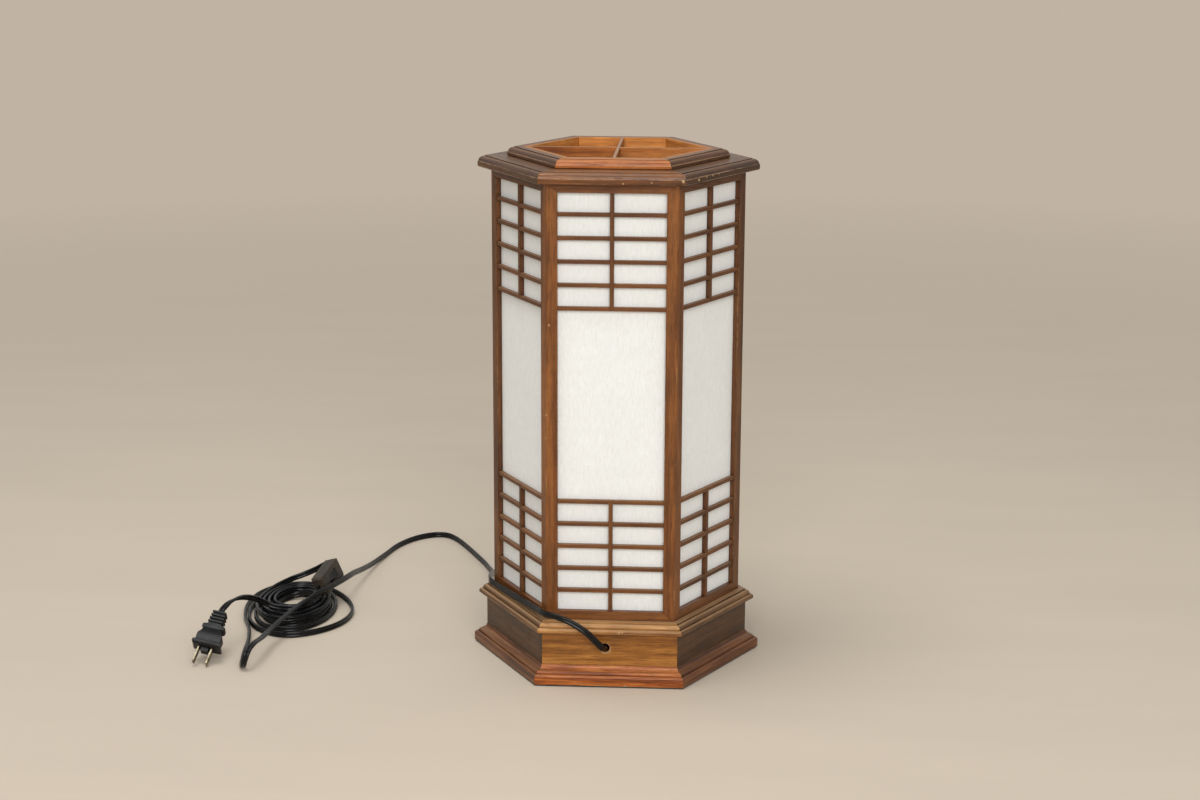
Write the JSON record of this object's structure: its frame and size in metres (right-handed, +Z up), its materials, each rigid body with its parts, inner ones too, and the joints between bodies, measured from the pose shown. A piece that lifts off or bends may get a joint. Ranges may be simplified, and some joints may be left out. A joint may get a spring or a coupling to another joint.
{
  "type": "rice paper table lamp",
  "caption": "Six-sided wooden lantern lamp with rice paper windows and lattices, a moulded plinth and open cap, and a flat twin cord with a switch and a two-blade plug.",
  "frame": {"origin": "the middle of the foot, on the surface that the lamp stands on", "axes": "+Z is up, -Y faces the front, which has the cord hole, and X runs from corner to corner of the hexagon"},
  "size_m": [0.5255, 0.45, 0.4745],
  "materials": {
    "felt": "matte felt",
    "walnut_plinth": "stained, worn satin lacquer",
    "walnut_frame": "stained, satin lacquer",
    "walnut_lattice": "stained, satin lacquer, dusty on top",
    "walnut_cap": "stained, worn satin lacquer",
    "walnut_cross": "stained, open grain",
    "walnut_inner": "stained, dull",
    "pale_wood": "sanded, unfinished",
    "rice_paper": "matte, with fine fibres",
    "brass": "plain",
    "moulded_insulator": "moulded",
    "bulb_base_metal": "pressed",
    "bulb_glass": "frosted",
    "switch_shell": "moulded, fine grain",
    "switch_rocker": "moulded",
    "screw_steel": "plain",
    "plug_moulding": "satin moulded",
    "blade_metal": "dull",
    "cord_jacket": "satin"
  },
  "bodies": {
    "lamp": {"felt_strips": "felt", "foot_mouldings": "walnut_plinth", "plinth_panel_front": "walnut_plinth", "plinth_panels": "walnut_plinth", "ledge_mouldings": "walnut_plinth", "base_board": "pale_wood", "base_blocks": "pale_wood", "base_screws": "brass", "corner_post_1": "walnut_frame", "corner_post_2": "walnut_frame", "corner_post_3": "walnut_frame", "corner_post_4": "walnut_frame", "corner_post_5": "walnut_frame", "corner_post_6": "walnut_frame", "top_rails": "walnut_frame", "bottom_rails": "walnut_frame", "lattice_upper_1": "walnut_lattice", "lattice_upper_2": "walnut_lattice", "lattice_upper_3": "walnut_lattice", "lattice_upper_4": "walnut_lattice", "lattice_upper_5": "walnut_lattice", "lattice_upper_6": "walnut_lattice", "lattice_lower_1": "walnut_lattice", "lattice_lower_2": "walnut_lattice", "lattice_lower_3": "walnut_lattice", "lattice_lower_4": "walnut_lattice", "lattice_lower_5": "walnut_lattice", "lattice_lower_6": "walnut_lattice", "paper_1": "rice_paper", "paper_2": "rice_paper", "paper_3": "rice_paper", "paper_4": "rice_paper", "paper_5": "rice_paper", "paper_6": "rice_paper", "paper_stops": "walnut_inner", "cap_boards": "walnut_cap", "nipple": "brass", "nipple_nuts": "brass", "holder_cap": "brass", "holder_shell": "brass", "holder_insert": "moulded_insulator", "screw_shell": "brass", "centre_contact": "brass", "inner_lead": "cord_jacket", "switch_top_shell": "switch_shell", "switch_bottom_shell": "switch_shell", "switch_screws": "screw_steel", "plug_body": "plug_moulding", "plug_blades": "blade_metal", "cord_lead": "cord_jacket", "cord_coil": "cord_jacket", "cord_riser": "cord_jacket", "cord_tail": "cord_jacket"},
    "crown": {"crown_mouldings": "walnut_cap", "crown_liner": "walnut_cap", "cross_board_long": "walnut_cross", "cross_board_short": "walnut_cross"},
    "bulb": {"bulb_base": "bulb_base_metal", "bulb_glass": "bulb_glass"},
    "rocker": {"switch_rocker": "switch_rocker"}
  },
  "joints": [
    {"name": "crown_lift", "type": "slide", "parent": "lamp", "child": "crown", "axis": [0, 0, 1], "range_m": [0, 0.03]},
    {"name": "bulb_unscrew", "type": "slide", "parent": "lamp", "child": "bulb", "axis": [0, 0, 1], "range_m": [0, 0.03]},
    {"name": "rocker_press", "type": "hinge", "parent": "lamp", "child": "rocker", "pos_m": [-0.29142, 0.09492, 0.02915], "axis": [-0.348, -0.142, 0.9267], "range_deg": [0, 14]}
  ]
}
